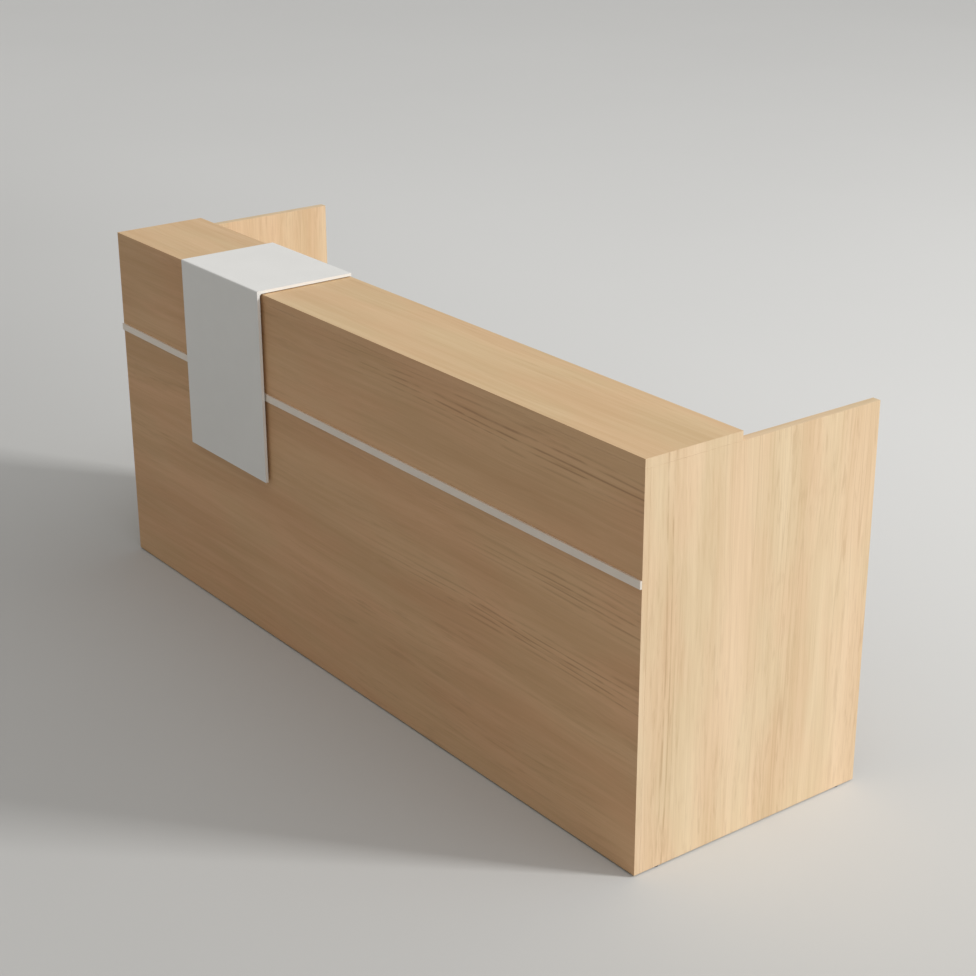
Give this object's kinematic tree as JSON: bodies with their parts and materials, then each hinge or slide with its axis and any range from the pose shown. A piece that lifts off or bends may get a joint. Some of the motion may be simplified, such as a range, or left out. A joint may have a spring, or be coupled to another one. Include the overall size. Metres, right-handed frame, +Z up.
{
  "type": "reception desk",
  "caption": "Reception desk with a tall board front and counter, an accent plate folded over it, a seated worktop with lidded cable ports and a hanging drawer pedestal with a cam lock.",
  "frame": {"origin": "on the floor, at the centre of the desk's footprint", "axes": "+X along the front, to the right of a visitor facing it; +Y from the visitor to the staff side; +Z up"},
  "size_m": [2.6, 0.806, 1.135],
  "materials": {
    "wood_level": "satin oak decor, grain along the desk",
    "wood_upright": "satin oak decor, grain upright",
    "wood_carcass": "satin oak decor",
    "wood_drawer": "satin oak decor, grain along the drawer",
    "accent": "thin board with a satin pale grey lacquer",
    "trim": "satin anodised",
    "port": "satin anodised",
    "handle": "satin anodised",
    "pale_steel": "fine textured powder coat",
    "zinc": "zinc plated",
    "lock": "nickel plated",
    "dark_plastic": "moulded, fine texture",
    "foam": "foam tape"
  },
  "bodies": {
    "desk": {"counter_top": "wood_level", "front_panel_lower": "wood_level", "front_panel_upper": "wood_level", "worktop": "wood_level", "side_panel_left": "wood_upright", "side_panel_right": "wood_upright", "gable": "wood_upright", "upright_middle": "wood_upright", "upright_right": "wood_upright", "pedestal_side_left": "wood_carcass", "pedestal_side_right": "wood_carcass", "pedestal_back": "wood_carcass", "pedestal_top": "wood_carcass", "pedestal_bottom": "wood_carcass", "accent_plate": "accent", "trim_strip": "trim", "port_frame_left": "port", "port_frame_right": "port", "cable_tray_left": "pale_steel", "cable_tray_right": "pale_steel", "rail_front_left": "zinc", "rail_front_right": "zinc", "rail_side_left": "zinc", "counter_bracket_left": "zinc", "counter_bracket_right": "zinc", "lock_strike": "zinc", "runner_upper_left_cabinet": "zinc", "runner_upper_right_cabinet": "zinc", "runner_lower_left_cabinet": "zinc", "runner_lower_right_cabinet": "zinc", "accent_standoff_upper_left": "dark_plastic", "accent_standoff_upper_right": "dark_plastic", "accent_standoff_lower_left": "dark_plastic", "accent_standoff_lower_right": "dark_plastic", "accent_tape_left": "foam", "accent_tape_right": "foam"},
    "foot_side_panel_left_front": {"foot_side_panel_left_front": "dark_plastic"},
    "foot_side_panel_left_rear": {"foot_side_panel_left_rear": "dark_plastic"},
    "foot_side_panel_right_front": {"foot_side_panel_right_front": "dark_plastic"},
    "foot_side_panel_right_rear": {"foot_side_panel_right_rear": "dark_plastic"},
    "foot_gable_front": {"foot_gable_front": "dark_plastic"},
    "foot_gable_rear": {"foot_gable_rear": "dark_plastic"},
    "lid_left": {"port_lid_left": "port"},
    "lid_right": {"port_lid_right": "port"},
    "drawer_upper": {"drawer_front_upper": "wood_drawer", "drawer_box_upper": "pale_steel", "handle_upper": "handle", "runner_upper_left_drawer": "zinc", "runner_upper_right_drawer": "zinc"},
    "runner_middle_upper": {"runner_upper_left_middle": "zinc", "runner_upper_right_middle": "zinc"},
    "drawer_lower": {"drawer_front_lower": "wood_drawer", "drawer_box_lower": "pale_steel", "handle_lower": "handle", "runner_lower_left_drawer": "zinc", "runner_lower_right_drawer": "zinc"},
    "runner_middle_lower": {"runner_lower_left_middle": "zinc", "runner_lower_right_middle": "zinc"},
    "lock": {"lock_barrel": "lock", "lock_cam": "lock"}
  },
  "joints": [
    {"name": "foot_side_panel_left_front_level", "type": "slide", "parent": "desk", "child": "foot_side_panel_left_front", "axis": [0, 0, -1], "range_m": [0, 0.012]},
    {"name": "foot_side_panel_left_rear_level", "type": "slide", "parent": "desk", "child": "foot_side_panel_left_rear", "axis": [0, 0, -1], "range_m": [0, 0.012]},
    {"name": "foot_side_panel_right_front_level", "type": "slide", "parent": "desk", "child": "foot_side_panel_right_front", "axis": [0, 0, -1], "range_m": [0, 0.012]},
    {"name": "foot_side_panel_right_rear_level", "type": "slide", "parent": "desk", "child": "foot_side_panel_right_rear", "axis": [0, 0, -1], "range_m": [0, 0.012]},
    {"name": "foot_gable_front_level", "type": "slide", "parent": "desk", "child": "foot_gable_front", "axis": [0, 0, -1], "range_m": [0, 0.012]},
    {"name": "foot_gable_rear_level", "type": "slide", "parent": "desk", "child": "foot_gable_rear", "axis": [0, 0, -1], "range_m": [0, 0.012]},
    {"name": "drawer_upper_slide", "type": "slide", "parent": "desk", "child": "drawer_upper", "axis": [0, 1, 0], "range_m": [0, 0.44]},
    {"name": "runner_middle_upper_slide", "type": "slide", "parent": "desk", "child": "runner_middle_upper", "axis": [0, 1, 0], "range_m": [0, 0.22]},
    {"name": "drawer_lower_slide", "type": "slide", "parent": "desk", "child": "drawer_lower", "axis": [0, 1, 0], "range_m": [0, 0.44]},
    {"name": "runner_middle_lower_slide", "type": "slide", "parent": "desk", "child": "runner_middle_lower", "axis": [0, 1, 0], "range_m": [0, 0.22]},
    {"name": "lock_turn", "type": "hinge", "parent": "drawer_upper", "child": "lock", "pos_m": [1.2132, 0.358, 0.6652], "axis": [0, 1, 0], "range_deg": [0, 90]},
    {"name": "lid_left_hinge", "type": "hinge", "parent": "desk", "child": "lid_left", "pos_m": [-0.75133, -0.1706, 0.7413], "axis": [1, 0, 0], "range_deg": [0, 95]},
    {"name": "lid_right_hinge", "type": "hinge", "parent": "desk", "child": "lid_right", "pos_m": [0.32103, -0.1706, 0.7413], "axis": [1, 0, 0], "range_deg": [0, 95]}
  ],
  "couplings": [
    {"joint": "runner_middle_upper_slide", "follows": "drawer_upper_slide", "ratio": 0.5},
    {"joint": "runner_middle_lower_slide", "follows": "drawer_lower_slide", "ratio": 0.5}
  ]
}
